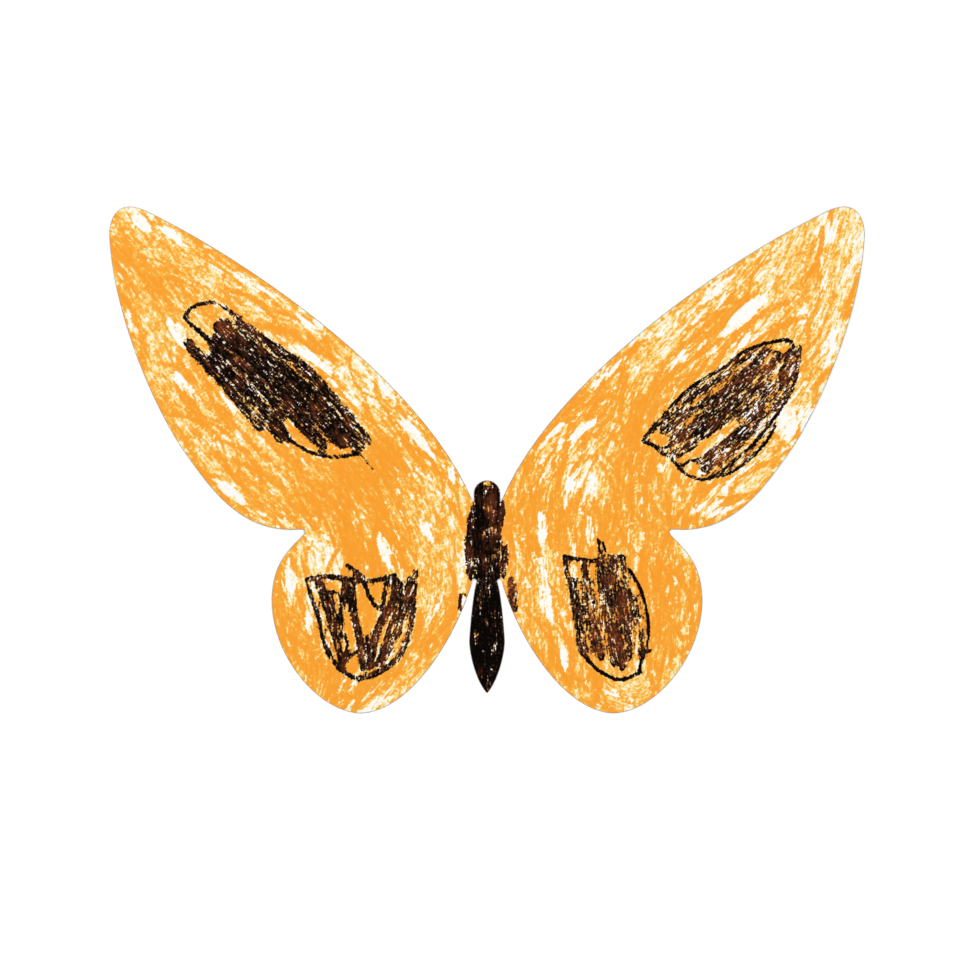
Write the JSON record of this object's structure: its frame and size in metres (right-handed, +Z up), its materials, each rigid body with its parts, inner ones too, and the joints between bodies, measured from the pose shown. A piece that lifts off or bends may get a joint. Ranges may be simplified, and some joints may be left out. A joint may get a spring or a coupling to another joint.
{
  "type": "crayon-coloured card butterfly",
  "caption": "Flat butterfly cut from white card and coloured with wax crayon, orange wings with dark spots, folding up at two creases beside the body.",
  "frame": {"origin": "middle of the thorax, on the underside of the card, where the butterfly rests or is glued down", "axes": "+X to the butterfly's right wing as drawn, across the wings; +Y to the head; +Z up out of the coloured face"},
  "size_m": [0.25, 0.1677, 0.0006],
  "materials": {
    "card": "matt white card with a slight tooth",
    "orange_wax": "waxy orange crayon, streaked and grainy over the card's tooth",
    "black_wax": "waxy near-black crayon, brown where it is thin over the orange",
    "brown_wax": "waxy dark brown crayon, grainy"
  },
  "bodies": {
    "body": {"body_card": "card", "body_orange_wax": "orange_wax", "body_black_wax": "black_wax"},
    "left_wing": {"left_wing_card": "card", "left_wing_orange_wax": "orange_wax", "left_forewing_spot": "black_wax", "left_hindwing_spot": "black_wax", "left_thorax_overrun": "black_wax", "left_waist_mark": "brown_wax"},
    "right_wing": {"right_wing_card": "card", "right_wing_orange_wax": "orange_wax", "right_forewing_spot": "black_wax", "right_hindwing_spot": "black_wax", "right_upper_thorax_overrun": "black_wax", "right_lower_thorax_overrun": "black_wax", "right_waist_mark": "brown_wax"}
  },
  "joints": [
    {"name": "left_wing_fold", "type": "hinge", "parent": "body", "child": "left_wing", "pos_m": [-0.0045, 0, 0.0004], "axis": [0, 1, 0], "range_deg": [0, 90]},
    {"name": "right_wing_fold", "type": "hinge", "parent": "body", "child": "right_wing", "pos_m": [0.0045, 0, 0.0004], "axis": [0, -1, 0], "range_deg": [0, 90]}
  ]
}
